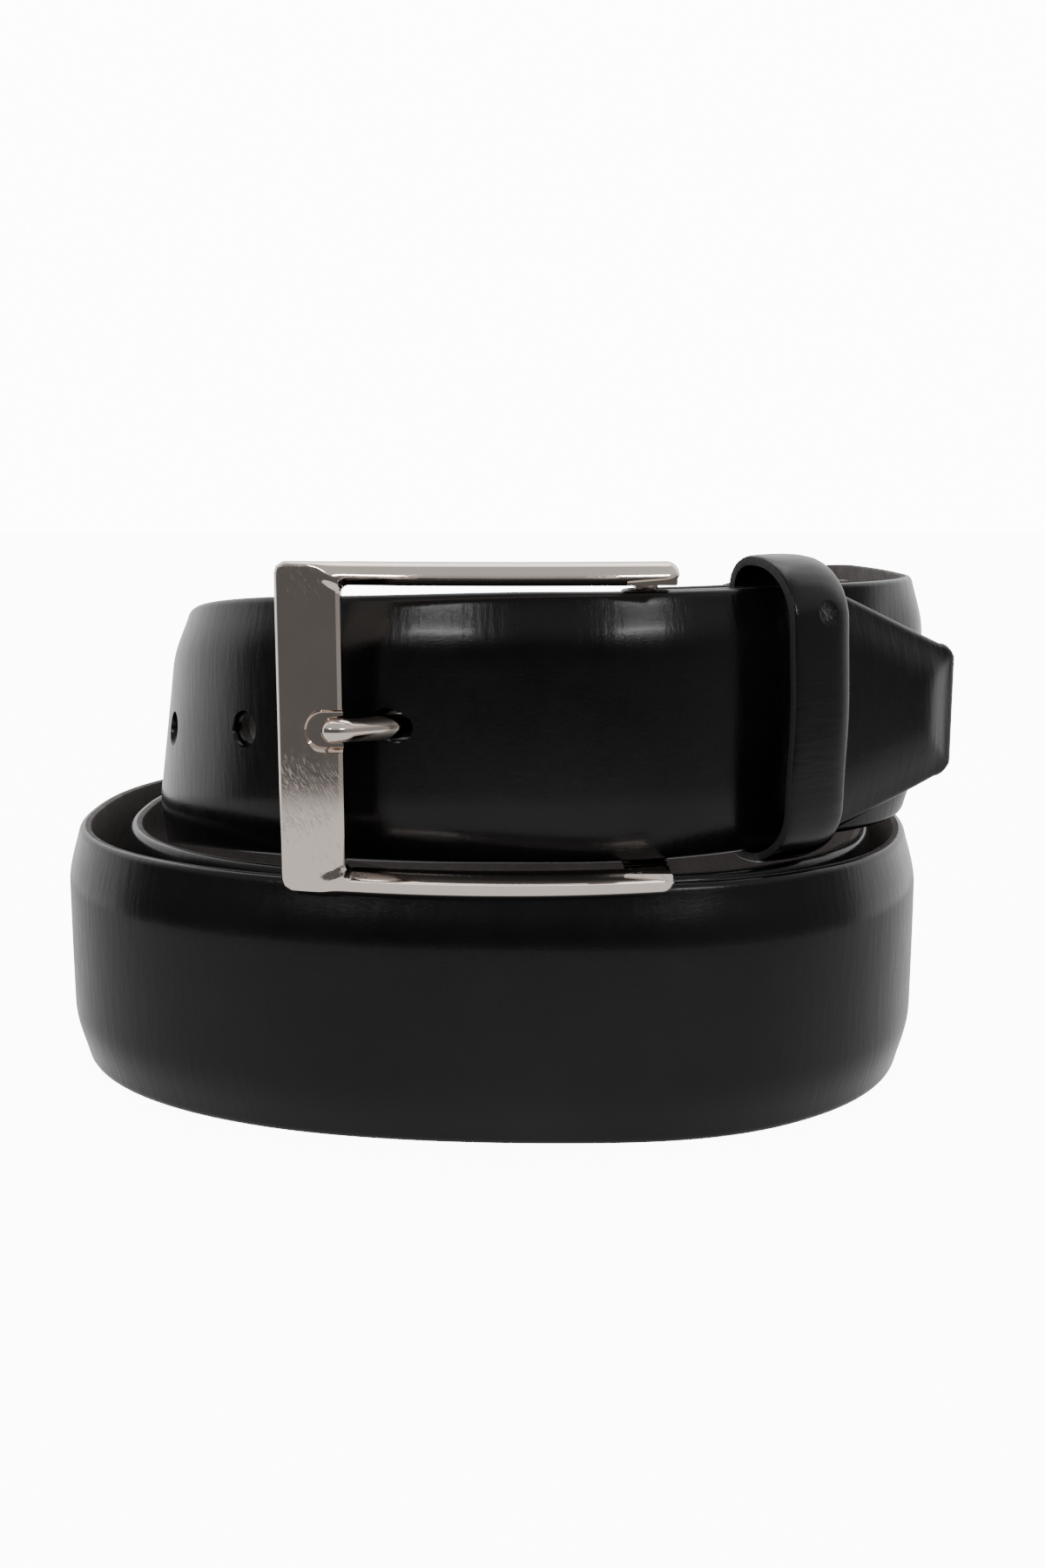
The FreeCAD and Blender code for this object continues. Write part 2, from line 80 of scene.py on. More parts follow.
REACH_BLEND = 80.0           # and the degrees over which it changes
TURN_STEP = 1.5              # degrees between the visible strap's sections
COIL_END = 990.0
TURN_NUDGE = 0.2             # degrees either side of a section, for its direction

# ---- tip, fold and buckle end ----
BEND_X = 9.6
BEND_RADIUS = 42.0
BEND_DEG = 31.0
TIP_STRAIGHT = 39.8
LAYER_GAP = 0.35
END_CORNER_R = 30.0
TAIL_LENGTH = 27.0
FILLER_STOP = 26.0

# ---- holes and heel bar ----
HOLE_R = 2.2
HOLE_PITCH = 21.5
HOLE_COUNT = 5
FIRST_HOLE = 85.4
HOLE_RIM = ((-0.75, 0.0), (-0.3, 0.07), (-0.1, 0.2), (0.1, 0.32), (1.5, 0.8))   # (height, extra radius)
BAR_R = 1.6
RUNNING_FIT = 0.05
BAR_X = 20.3

# ---- buckle ----
FRAME_LEFT = -26.8
FRAME_RIGHT = 23.7
FRAME_FRONT_Y = -56.5
FRAME_BOW_R = 90.0
FRAME_BOW_X = 3.0
FRAME_Z = 54.75
FRAME_HALF = 21.05
WINDOW_HALF = 18.1
FRAME_ROUND = 1.4
WINDOW_ROUND = 1.0
FRONT_BAR_W = 8.5
FRONT_BAR_T = 3.2
ARM_T = 4.2
LUG_R = 3.1
LUG_Z = (35.35, 36.55)
REST_LENGTH = 4.8
REST_HALF = 2.35
PRONG_R = 1.6
PRONG_ROOM = 0.4
PRONG_SWING_DEG = 2.0
PRONG_TIP = (-19.4, -52.9)
PRONG_TOE = (-18.5, -52.9)
PRONG_KNEE = (-9.7, -44.1)
KNEE_R = 14.0
TOE_R = 2.1
PRONG_EYE_R = 3.0
EYE_SLOT_HALF = 2.7
PRONG_DIP = 0.3
EYE_PLAY = 0.5               # room above and below the eye in its slot
EYE_EDGE = 0.3
EYE_BITE = 0.8               # how far the rod's root reaches into the eye
ARC_STEPS = 12               # along each arc of the prong
SLANT_SPAN = (-3.0, 13.0)    # along the prong's slant, the room worn through the strap
SWING_EASE = 0.013           # extra room for each degree of swing

# ---- keeper ----
KEEPER_W = 9.5
KEEPER_T = 1.2
KEEPER_S = 8.05
KEEPER_BACK = -3.0
KEEPER_FRONT = 8.8
KEEPER_LOW = 36.55
KEEPER_HIGH = 74.8

FOLD_T = LINING_T + LEATHER_T
FOLD_R = BAR_R + RUNNING_FIT
FOLD_GAP = 2 * FOLD_R
BEND_CENTRE_Y = BEND_RADIUS - DEPTH_REACH[0]
INNER_BEND_R = BEND_RADIUS - FOLD_T - LAYER_GAP
BAR_SPREAD = INNER_BEND_R - FOLD_R
BAR_DEG = math.degrees(math.asin((BAR_X - BEND_X) / BAR_SPREAD))


# ---------------------------------------------------------------- path of the strap

def smooth(x):
    x = min(1.0, max(0.0, x))
    return x * x * (3 - 2 * x)


def eased(x, ease=0.25):
    """0 to 1 at a steady rate, with a gentle start and stop."""
    x = min(1.0, max(0.0, x))
    rate = 1 / (1 - ease)
    if x < ease:
        return rate * x * x / (2 * ease)
    if x > 1 - ease:
        return 1 - rate * (1 - x) ** 2 / (2 * ease)
    return rate * (x - ease / 2)


def bump(x, centre, reach):
    """1 at the centre, easing down to 0 at the reach on either side."""
    off = abs(x - centre) / reach
    return math.cos(off * math.pi / 2) ** 2 if off < 1 else 0.0


def reach_at(values, turn, first):
    k = (turn - first) / 180.0
    low = min(len(values) - 1, max(0, math.floor(k)))
    high = min(len(values) - 1, low + 1)
    blend = smooth(((k - low) * 180 - REACH_HOLD) / REACH_BLEND)
    return values[low] + (values[high] - values[low]) * blend


def lap_point(turn):
    """Middle of the strap's inner face at a turn angle: 0 front, 90 left, 180 back, 270 right."""
    side = reach_at(SIDE_REACH, turn, 90.0)
    depth = reach_at(DEPTH_REACH, turn, 0.0)
    square = 2.0 + SQUARE_GAIN * smooth((turn - 90) / 200)
    phi = math.radians(turn)
    s, c = abs(math.sin(phi)), abs(math.cos(phi))
    radius = ((s / side) ** square + (c / depth) ** square) ** (-1 / square)
    radius += RISE_SWELL * bump(turn, *SWELL_SPAN) - NEST_DIP * bump(turn, *NEST_SPAN)
    rise = UPPER_Z - LOWER_Z
    z = UPPER_Z - EARLY_DROP * smooth(turn / EARLY_END)
    z -= (rise - EARLY_DROP) * eased((turn - LEVEL_DROP[0]) / (LEVEL_DROP[1] - LEVEL_DROP[0]))
    z += rise * eased((turn - LEVEL_RISE[0]) / (LEVEL_RISE[1] - LEVEL_RISE[0]))
    return Vector((AXIS_X - radius * math.sin(phi), -radius * math.cos(phi), z))


class Station:
    """One cross-section of the strap: where it is, which way is out and which way is up."""

    def __init__(self, pos, ahead, lean=0.0):
        self.pos = pos
        self.ahead = ahead.normalized()
        flat = Vector((-self.ahead.y, self.ahead.x, 0)).normalized()
        up = -flat.cross(self.ahead)
        roll = math.radians(lean)
        self.out = flat * math.cos(roll) + up * math.sin(roll)
        self.up = up * math.cos(roll) - flat * math.sin(roll)
        self.half = STRAP_WIDTH / 2
        self.filler = 1.0
        self.run = 0.0

    def at(self, u, w):
        return self.pos + self.out * u + self.up * w


def heading(deg):
    return Vector((math.cos(math.radians(deg)), math.sin(math.radians(deg)), 0))


def left_of(deg):
    return heading(deg + 90)


def line_stations(start, deg, marks):
    return [Station(start + heading(deg) * m, heading(deg)) for m in marks]


def arc_stations(centre, radius, degs):
    """Stations on an arc about a centre; a negative radius turns left instead of right."""
    return [Station(centre + left_of(d) * radius, heading(d)) for d in degs]


def steps(first, last, count):
    return [first + (last - first) * i / count for i in range(count + 1)]


def bend_centre():
    return Vector((BEND_X, BEND_CENTRE_Y, UPPER_Z))


def bar_centre():
    return bend_centre() + left_of(180 + BAR_DEG) * BAR_SPREAD


def tip_stations():
    deg = 180 + BEND_DEG
    start = bend_centre() + left_of(deg) * BEND_RADIUS - heading(deg) * TIP_STRAIGHT
    marks = [0, 0.06, 0.2, 0.45, 0.8, 1.2, 1.7, 2.3] + steps(TIP_CORNER_R, TIP_STRAIGHT, 30)
    bend = arc_stations(bend_centre(), BEND_RADIUS, steps(deg, 180, 20)[1:-1])
    return line_stations(start, deg, marks) + bend


def coil_stations():
    made = []
    for i in range(int(COIL_END / TURN_STEP) + 1):
        turn = i * TURN_STEP
        ahead = lap_point(turn + TURN_NUDGE) - lap_point(max(0.0, turn - TURN_NUDGE))
        if turn == 0:
            ahead = heading(180)
        made.append(Station(lap_point(turn), ahead, LEAN_DEG * bump(turn, *LEAN_SPAN)))
    return made


def buckle_end_stations():
    """Down the right side, round the end corner, along to the bar, round it and back inside."""
    deg, bar_deg = 180 + BEND_DEG, 180 + BAR_DEG
    bend_end = bend_centre() + left_of(deg) * INNER_BEND_R
    corner_x = bend_end.x - END_CORNER_R * left_of(deg).x + END_CORNER_R
    run = (AXIS_X + SIDE_REACH[-1] - corner_x) / math.cos(math.radians(BEND_DEG))
    corner = bend_end - heading(deg) * run - left_of(deg) * END_CORNER_R
    made = arc_stations(corner, END_CORNER_R, steps(270, deg, 26))
    made += line_stations(bend_end - heading(deg) * run, deg, steps(0, run, 3)[1:-1])
    made += arc_stations(bend_centre(), INNER_BEND_R, steps(deg, bar_deg, 12))
    made += arc_stations(bar_centre(), FOLD_R, steps(bar_deg, bar_deg - 180, 24)[1:])
    made += arc_stations(bend_centre(), FOLD_GAP - INNER_BEND_R, steps(BAR_DEG, BEND_DEG, 12)[1:])
    back_end = bend_end - left_of(deg) * FOLD_GAP
    made += line_stations(back_end, BEND_DEG, steps(0, run, 3)[1:-1])
    tail_deg = math.degrees((TAIL_LENGTH - run) / (END_CORNER_R - FOLD_GAP))
    made += arc_stations(corner, FOLD_GAP - END_CORNER_R, steps(BEND_DEG, BEND_DEG + tail_deg, 8))
    return made


def tip_half(run):
    if run < TIP_CORNER_R:
        rest = TIP_CORNER_R - run
        return TIP_END_HALF - TIP_CORNER_R + math.sqrt(max(0.0, TIP_CORNER_R ** 2 - rest ** 2))
    full = STRAP_WIDTH / 2
    return min(full, TIP_END_HALF + (full - TIP_END_HALF) * (run - TIP_CORNER_R) / (TIP_TAPER - TIP_CORNER_R))


def strap_stations():
    made = tip_stations() + coil_stations() + buckle_end_stations()
    for before, here in zip(made, made[1:]):
        here.run = before.run + (here.pos - before.pos).length
    filler_end = made[-1].run - 2 * TAIL_LENGTH - FILLER_STOP
    for s in made:
        s.half = tip_half(s.run)
        s.pos.z -= TIP_DROOP * smooth(1 - s.run / TIP_TAPER)
        s.filler = smooth((s.run + 2) / TIP_FADE) * smooth((filler_end - s.run) / FILLER_FADE)
    return made


def run_point(stations, run):
    for a, b in zip(stations, stations[1:]):
        if a.run <= run <= b.run:
            f = (run - a.run) / (b.run - a.run)
            return Station(a.pos.lerp(b.pos, f), a.ahead.lerp(b.ahead, f))
    raise ValueError(run)


# ---------------------------------------------------------------- mesh helpers

UP = Vector((0, 0, 1))
BALL_STEPS = 10              # rings in a rod's ball end


def mesh_object(name, points, faces, uvs=None):
    mesh = bpy.data.meshes.new(name)
    mesh.from_pydata([Vector(p) * MM for p in points], [], faces)
    if uvs:
        layer = mesh.uv_layers.new(name="strap")
        for loop in mesh.loops:
            layer.data[loop.index].uv = uvs[loop.vertex_index]
    obj = bpy.data.objects.new(name, mesh)
    bpy.context.scene.collection.objects.link(obj)
    fix_normals(obj)
    return obj


def fix_normals(obj):
    bm = bmesh.new()
    bm.from_mesh(obj.data)
    bmesh.ops.recalc_face_normals(bm, faces=bm.faces)
    bm.to_mesh(obj.data)
    bm.free()


def tube_faces(rings, size, closed=False):
    """Quads between closed rings of points, with a cap at each end unless the tube is closed."""
    faces = []
    for i in range(rings if closed else rings - 1):
        a, b = i * size, ((i + 1) % rings) * size
        for j in range(size):
            k = (j + 1) % size
            faces.append((a + j, a + k, b + k, b + j))
    if not closed:
        faces.append(tuple(reversed(range(size))))
        faces.append(tuple(range((rings - 1) * size, rings * size)))
    return faces


def bake_modifiers(obj):
    depsgraph = bpy.context.evaluated_depsgraph_get()
    made = bpy.data.meshes.new_from_object(obj.evaluated_get(depsgraph))
    obj.modifiers.clear()
    obj.data = made


def cut(obj, cutters):
    for cutter in cutters:
        modifier = obj.modifiers.new("cut", "BOOLEAN")
        modifier.operation = "DIFFERENCE"
        modifier.solver = "EXACT"
        modifier.object = cutter
        bake_modifiers(obj)


def remove(objects):
    for obj in objects:
        bpy.data.objects.remove(obj)


def soften(obj, degrees):
    """Smooth shading, with edges sharper than an angle left crisp."""
    obj.data.polygons.foreach_set("use_smooth", [True] * len(obj.data.polygons))
    obj.data.set_sharp_from_angle(angle=math.radians(degrees))


def join(target, others):
    bm = bmesh.new()
    bm.from_mesh(target.data)
    for other in others:
        bm.from_mesh(other.data)
    bm.to_mesh(target.data)
    bm.free()
    remove(others)


def ring(centre, across, along, radius, count):
    return [centre + across * (radius * math.cos(a)) + along * (radius * math.sin(a))
            for a in (2 * math.pi * i / count for i in range(count))]


def lathe(name, centre, axis, profile, count=48, closed=False):
    """Solid of revolution: the profile gives (distance along the axis, radius)."""
    side = axis.orthogonal().normalized()
    other = axis.cross(side).normalized()
    points = []
    for reach, radius in profile:
        points += ring(centre + axis * reach, side, other, radius, count)
    return mesh_object(name, points, tube_faces(len(profile), count, closed))


# ---------------------------------------------------------------- strap

SLOPE_START = 0.2            # in from the edge
SLOPE_SOFT = 0.35            # share of the slope that also eases in at its foot
FACE_CROWN = 0.12            # rise of the raised flat's middle
# Distances in from the strap's edge, closer together round the roll.
SIDE_MARKS = [0, 0.06, 0.18, 0.36, 0.6, 0.9, 1.4, 2.0, 2.7, 3.5, 4.3, 5.1, 5.9, 6.7, 7.5, 8.4,
              9.8, 12.0, 14.7]


def edge_height(inward):
    share = min(1.0, max(0.0, inward / EDGE_ROLL))
    return EDGE_T * (EDGE_LEAST + (1 - EDGE_LEAST) * math.sqrt(1 - (1 - share) ** 2))


def shoulder(inward):
    """Rounded slope between the edge and the raised flat."""
    x = min(1.0, max(0.0, (inward - SLOPE_START) / SLOPE_W))
    return SLOPE_SOFT * smooth(x) + (1 - SLOPE_SOFT) * math.sin(x * math.pi / 2)


def face_height(s, w):
    """Height of the polished face: rolled edge, slope, and the filler's raised flat."""
    inward = s.half - abs(w)
    near = min(inward, s.run)
    swell = FILLER_T * s.filler + LEATHER_T - EDGE_T
    crown = FACE_CROWN * s.filler * (1 - (w / s.half) ** 2)
    return LINING_T + edge_height(near) + swell * shoulder(near) + crown * smooth(near / 6)


def leather_section(s):
    full = STRAP_WIDTH / 2
    marks = [full - d for d in SIDE_MARKS]
    widths = marks + [0.0] + [-m for m in reversed(marks)]
    narrow = s.half / full
    top = LINING_T + FILLER_T * s.filler
    outer = [(face_height(s, w * narrow), w * narrow) for w in widths]
    under = [(LINING_T, -full), (LINING_T, -FILLER_HALF), (top, -FLAT_HALF),
             (top, FLAT_HALF), (LINING_T, FILLER_HALF), (LINING_T, full)]
    return outer + [(u, w * narrow) for u, w in under]


def lining_section(s):
    full = STRAP_WIDTH / 2
    edge = [(LINING_T, full), (0.3, full - 0.02), (0.1, full - 0.12), (0.0, full - 0.4)]
    half = edge + [(0.0, 12.0), (0.0, 6.0)]
    narrow = s.half / full
    other = [(u, -w) for u, w in reversed(half)]
    return [(u, w * narrow) for u, w in half + [(0.0, 0.0)] + other]


def strap_layer(name, stations, section):
    points, uvs = [], []
    for s in stations:
        for u, w in section(s):
            points.append(s.at(u, w))
            uvs.append((s.run * UV_UNIT, w * UV_UNIT))
    size = len(points) // len(stations)
    return mesh_object(name, points, tube_faces(len(stations), size), uvs)


def hole_cutters(stations):
    """Round punched holes with a pressed rim."""
    face = LINING_T + FILLER_T + LEATHER_T
    profile = [(-2, HOLE_R)] + [(face + rise, HOLE_R + grow) for rise, grow in HOLE_RIM]
    made = []
    for i in range(1, HOLE_COUNT):
        s = run_point(stations, FIRST_HOLE + i * HOLE_PITCH)
        made.append(lathe("hole", s.pos, s.out.normalized(), profile))
    return made


def prong_corners():
    bar = bar_centre()
    knee, toe = Vector((*PRONG_KNEE, FRAME_Z)), Vector((*PRONG_TOE, FRAME_Z))
    root = Vector((bar.x, bar.y, FRAME_Z))
    root += (knee - root).normalized() * (PRONG_EYE_R - EYE_BITE)
    return [(root, 0), (knee, KNEE_R), (toe, TOE_R), (Vector((*PRONG_TIP, FRAME_Z)), 0)]


def prong_line():
    """Points along the prong: straight runs joined by arcs that touch them."""
    corners = prong_corners()
    made = [corners[0][0]]
    for (before, _), (corner, radius), (after, _) in zip(corners, corners[1:], corners[2:]):
        back, ahead = (before - corner).normalized(), (after - corner).normalized()
        half = (math.pi - back.angle(ahead)) / 2
        reach = radius * math.tan(half)
        centre = corner + (back + ahead).normalized() * (radius / math.cos(half))
        start, end = corner + back * reach - centre, corner + ahead * reach - centre
        turned = start.cross(end).normalized()
        for i in range(ARC_STEPS + 1):
            made.append(centre + Matrix.Rotation(2 * half * i / ARC_STEPS, 3, turned) @ start)
    made.append(corners[-1][0])
    return made


def dipped_line():
    """The prong's line, a little lower between its toe and the bar."""
    line = prong_line()
    toe_y = PRONG_TOE[1]
    for p in line:
        share = (p.y - toe_y) / (bar_centre().y - toe_y)
        p.z -= PRONG_DIP * math.sin(math.pi * min(1.0, max(0.0, share)))
    return line


def make_prong():
    """Rod with a rounded tip that dips slightly on its way through the hole, and its eye on the bar."""
    prong = swept_rod("prong_rod", dipped_line(), PRONG_R)
    base = bar_centre()
    base.z = FRAME_Z
    tall, edge = EYE_SLOT_HALF - EYE_PLAY, EYE_EDGE
    profile = [(-tall, FOLD_R), (-tall, PRONG_EYE_R - edge), (edge - tall, PRONG_EYE_R),
               (tall - edge, PRONG_EYE_R), (tall, PRONG_EYE_R - edge), (tall, FOLD_R)]
    eye = lathe("eye", base, UP, profile, closed=True)
    join(prong, [eye])
    soften(prong, 40)
    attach(prong, "prong")
    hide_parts("prong")
    prong.data.materials.append(nickel("nickel_prong_look"))


def swept_rod(name, line, radius, count=32):
    """Round rod, with a ball end, along a line that stays nearly level."""
    points = []
    for i, p in enumerate(line):
        ahead = (line[min(i + 1, len(line) - 1)] - line[max(i - 1, 0)]).normalized()
        side = Vector((-ahead.y, ahead.x, 0))
        points += ring(p, side, UP, radius, count)
    for i in range(1, BALL_STEPS):
        angle = math.pi / 2 * i / BALL_STEPS
        centre = line[-1] + ahead * radius * math.sin(angle)
        points += ring(centre, side, UP, radius * math.cos(angle), count)
    return mesh_object(name, points, tube_faces(len(points) // count, count))


def turned_about_bar(obj, degrees):
    bar = bar_centre() * MM
    turn = Matrix.Rotation(math.radians(degrees), 4, "Z")
    obj.data.transform(Matrix.Translation(bar) @ turn @ Matrix.Translation(-bar))
    return obj


def prong_cutters():
    """Room in the strap for the slanting prong, over its swing, and for its eye in the fold."""
    knee, toe = Vector((*PRONG_KNEE, FRAME_Z)), Vector((*PRONG_TOE, FRAME_Z))
    slant = (toe - knee).normalized()
    made = [lathe("slant", knee, slant, [(reach, HOLE_R) for reach in SLANT_SPAN])]
    for degrees in steps(0, PRONG_SWING_DEG, 2):
        room = swept_rod("room", dipped_line(), PRONG_R + PRONG_ROOM + SWING_EASE * degrees)
        made.append(turned_about_bar(room, degrees))
    base = bar_centre()
    base.z = FRAME_Z
    reach = FOLD_R + FOLD_T + LAYER_GAP / 2
    made.append(lathe("slot", base, UP, [(-EYE_SLOT_HALF, reach), (EYE_SLOT_HALF, reach)]))
    return made


def make_strap():
    stations = strap_stations()
    leather = strap_layer("belt_leather", stations, leather_section)
    lining = strap_layer("belt_lining", stations, lining_section)
    cutters = hole_cutters(stations) + prong_cutters()
    for obj in (leather, lining):
        cut(obj, cutters)
        soften(obj, 40)
        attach(obj, "strap")
    remove(cutters)
    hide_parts("strap_leather")
    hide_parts("strap_lining")
    leather.data.materials.append(polished_leather("polished_leather_look"))
    lining.data.materials.append(lining_leather())


# ---------------------------------------------------------------- buckle frame

OUTER_ROLL = 0.7
ARM_BEVEL = 1.15
ARM_BEVEL_DEPTH = 2.6    # the arms' inner sides slope back
ARM_FALL = 0.8           # how far the arms fall away towards their outer edge
DEEP_WIDTH = 2.9         # a section at least this wide has the bevel's full depth
BEVEL_CURVE = 1.3
BAR_BEVEL = 0.55
BACK_CHAMFER = 0.3
FRAME_CROWN = 0.03       # how far the face's edges fall back, as a share of its width
END_MARKS = (0.0, 0.08, 0.25, 0.55, 0.95, FRAME_ROUND)   # back from an arm's end, round its corners
END_LEAST = 0.12         # share of the arm's width at its very end
END_SINK = 0.8           # how far the arm's rounded end falls back
ROLL_MARKS = (0.0, 0.05, 0.18, 0.4, 0.7, 1.0)
BEVEL_MARKS = (0.9, 0.7, 0.45, 0.2, 0.0)
OUTLINE_FAR = 40.0       # a distance from inside that is surely past the outline
HALVINGS = 40            # of that distance, to find the outline
CORNER_STEPS = 18
REST_NEAR = 5.0          # finer steps along the front bar within this of its middle
SEAT_ROOM = 0.3          # between the prong's tip and its seat in the front bar
TURNS_ROOM = 0.75        # between the frame's back and the lower turns
FRONT_TURNS = range(630, 811, 4)   # turn angles where the lower turns pass the frame
LUG_DEPTH = 2.6          # of the lugs' roots behind the frame's front
LUG_EDGE = 0.18
REST_PAST = 6            # how far the prong rest's cutter runs past the front bar
# The prong rest, front to back: (depth, size), a chamfered mouth and a round seat.
REST_PROFILE = ((-1.2, 1.16), (0.32, 1.16), (0.62, 1.02), (1.35, 0.94))


def bow_y(x):
    """Front of the bowed frame at x."""
    return FRAME_FRONT_Y + FRAME_BOW_R - math.sqrt(FRAME_BOW_R ** 2 - (x - FRAME_BOW_X) ** 2)


def outline_reach(origin, direction):
    """Distance from a point inside the frame's rounded outline to the outline."""
    low, high = 0.0, OUTLINE_FAR
    left, top, r = FRAME_LEFT, FRAME_HALF, FRAME_ROUND
    for _ in range(HALVINGS):
        t = (low + high) / 2
        x, z = origin[0] + direction[0] * t, origin[1] + direction[1] * t
        dx, dz = max(0.0, left + r - x), max(0.0, z - (top - r))
        if math.hypot(dx, dz) > r:
            high = t
        else:
            low = t
    return low


def frame_pairs():
    """Outer and inner outline points of the frame's upper half, from the arm's end to the middle."""
    middle, half = (FRAME_HALF + WINDOW_HALF) / 2, (FRAME_HALF - WINDOW_HALF) / 2
    pairs = []
    for e in END_MARKS:
        share = max(END_LEAST, math.sqrt(1 - (1 - e / FRAME_ROUND) ** 2))
        x, sink = FRAME_RIGHT - e, END_SINK * (1 - share)
        pairs.append(((x, middle + half * share), (x, middle - half * share), ARM_T, sink))
    corner = (FRAME_LEFT + FRONT_BAR_W + WINDOW_ROUND, WINDOW_HALF - WINDOW_ROUND)
    for x in steps(FRAME_RIGHT - FRAME_ROUND, corner[0], 26)[1:]:
        pairs.append(((x, FRAME_HALF), (x, WINDOW_HALF), ARM_T, 0.0))
    for i in range(1, CORNER_STEPS + 1):
        angle = math.radians(90 + 90 * i / CORNER_STEPS)
        way = (math.cos(angle), math.sin(angle))
        reach = outline_reach(corner, way)
        outer = (corner[0] + way[0] * reach, corner[1] + way[1] * reach)
        inner = (corner[0] + way[0] * WINDOW_ROUND, corner[1] + way[1] * WINDOW_ROUND)
        pairs.append((outer, inner, ARM_T + (FRONT_BAR_T - ARM_T) * smooth(i / 6), 0.0))
    for z in steps(corner[1], REST_NEAR, 8)[1:] + steps(REST_NEAR, 0.0, 10)[1:]:
        pairs.append(((FRAME_LEFT, z), (FRAME_LEFT + FRONT_BAR_W, z), FRONT_BAR_T, 0.0))
    return pairs


def frame_section(width, thickness, back):
    """Points across the frame, outer edge to inner edge and round its back: (distance, depth)."""
    arm = smooth((0.6 * FRONT_BAR_W - width) / 2)
    bevel = min(width * 0.4, BAR_BEVEL + (ARM_BEVEL - BAR_BEVEL) * arm)
    flat_depth = 0.9 * bevel
    bevel_depth = flat_depth + (ARM_BEVEL_DEPTH - flat_depth) * arm * min(1.0, width / DEEP_WIDTH)
    roll = min(OUTER_ROLL, width * 0.25)
    crown = FRAME_CROWN * width
    fall = ARM_FALL * arm
    across = [m * roll for m in ROLL_MARKS] + steps(roll, width - bevel, 7)[1:]
    across += [width - bevel * m for m in BEVEL_MARKS]
    made = []
    for a in across:
        depth = crown * (2 * a / width - 1) ** 2 + fall * (1 - a / width) ** 2
        if a < roll:
            depth += roll * (1 - math.sqrt(1 - (1 - a / roll) ** 2))
        if a > width - bevel:
            depth += bevel_depth * ((a - width + bevel) / bevel) ** BEVEL_CURVE
        made.append((a, depth + back))
    chamfer = BACK_CHAMFER * min(1, width / 2)
    made += [(width, thickness - BACK_CHAMFER), (width - chamfer, thickness),
             (chamfer, thickness), (0.0, thickness - BACK_CHAMFER)]
    return made


def frame_body():
    upper = frame_pairs()
    flip = [((o[0], -o[1]), (i[0], -i[1]), t, b) for o, i, t, b in reversed(upper[:-1])]
    points, count = [], 0
    for outer, inner, thickness, back in upper + flip:
        width = math.hypot(inner[0] - outer[0], inner[1] - outer[1])
        section = frame_section(width, thickness, back)
        count = len(section)
        for a, depth in section:
            share = a / width
            x = outer[0] + (inner[0] - outer[0]) * share
            z = outer[1] + (inner[1] - outer[1]) * share
            points.append(Vector((x, bow_y(x) + depth, FRAME_Z + z)))
    return mesh_object("buckle", points, tube_faces(len(upper + flip), count))


def lug(low, high):
    """Ear behind each arm's end that carries the heel bar."""
    bar = bar_centre()
    outline = [(bar.x + x, FRAME_FRONT_Y + LUG_DEPTH) for x in (-LUG_R, LUG_R)]
    outline += [(bar.x + LUG_R * math.cos(a), bar.y + LUG_R * math.sin(a)) for a in steps(0, math.pi, 24)]
    points = []
    for z, inset in ((low, LUG_EDGE), (low + LUG_EDGE, 0.0), (high - LUG_EDGE, 0.0), (high, LUG_EDGE)):
        for x, y in outline:
            side = (x - bar.x) * (1 - inset / LUG_R) + bar.x
            deep = y - inset if y > bar.y else y
            points.append(Vector((side, deep, z)))
    return mesh_object("lug", points, tube_faces(4, len(outline)))


def turns_clearance():
    """Space of the lower turns that the frame's lower arm must keep out of."""
    points = []
    for z in (0.0, LUG_Z[0]):
        for turn in FRONT_TURNS:
            s = Station(lap_point(turn), lap_point(turn + TURN_NUDGE) - lap_point(turn - TURN_NUDGE))
            p = s.at(LINING_T + EDGE_T + TURNS_ROOM, 0)
            points.append(Vector((p.x, p.y, z)))
    return mesh_object("clearance", points, tube_faces(2, len(points) // 2))


def rest_cutter():
    """Recess for the prong's tip, with a chamfer round its mouth and a round seat."""
    inner = FRAME_LEFT + FRONT_BAR_W
    face = bow_y(inner - REST_LENGTH / 2)
    left = inner - REST_LENGTH + REST_HALF
    outline = [(inner + REST_PAST, REST_HALF), (inner + REST_PAST, -REST_HALF)]
    outline += [(left + REST_HALF * math.cos(a), REST_HALF * math.sin(a))
                for a in steps(-math.pi / 2, -1.5 * math.pi, 20)]
    points = []
    for depth, grow in REST_PROFILE:
        for x, z in outline:
            points.append(Vector((left + (x - left) * grow, face + depth, FRAME_Z + z * grow)))
    return mesh_object("rest", points, tube_faces(len(REST_PROFILE), len(outline)))


def make_buckle():
    body = frame_body()
    from_knee = prong_line()[ARC_STEPS + 1:]
    seat = swept_rod("seat", from_knee, PRONG_R + SEAT_ROOM)
    cutters = [turns_clearance(), rest_cutter(), seat]
    cut(body, cutters)
    remove(cutters)
    top = 2 * FRAME_Z
    join(body, [lug(*LUG_Z), lug(top - LUG_Z[1], top - LUG_Z[0])])
    soften(body, 32)
    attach(body, "buckle")
    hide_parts("buckle_frame")
    body.data.materials.append(nickel("nickel_look"))


# ---------------------------------------------------------------- keeper

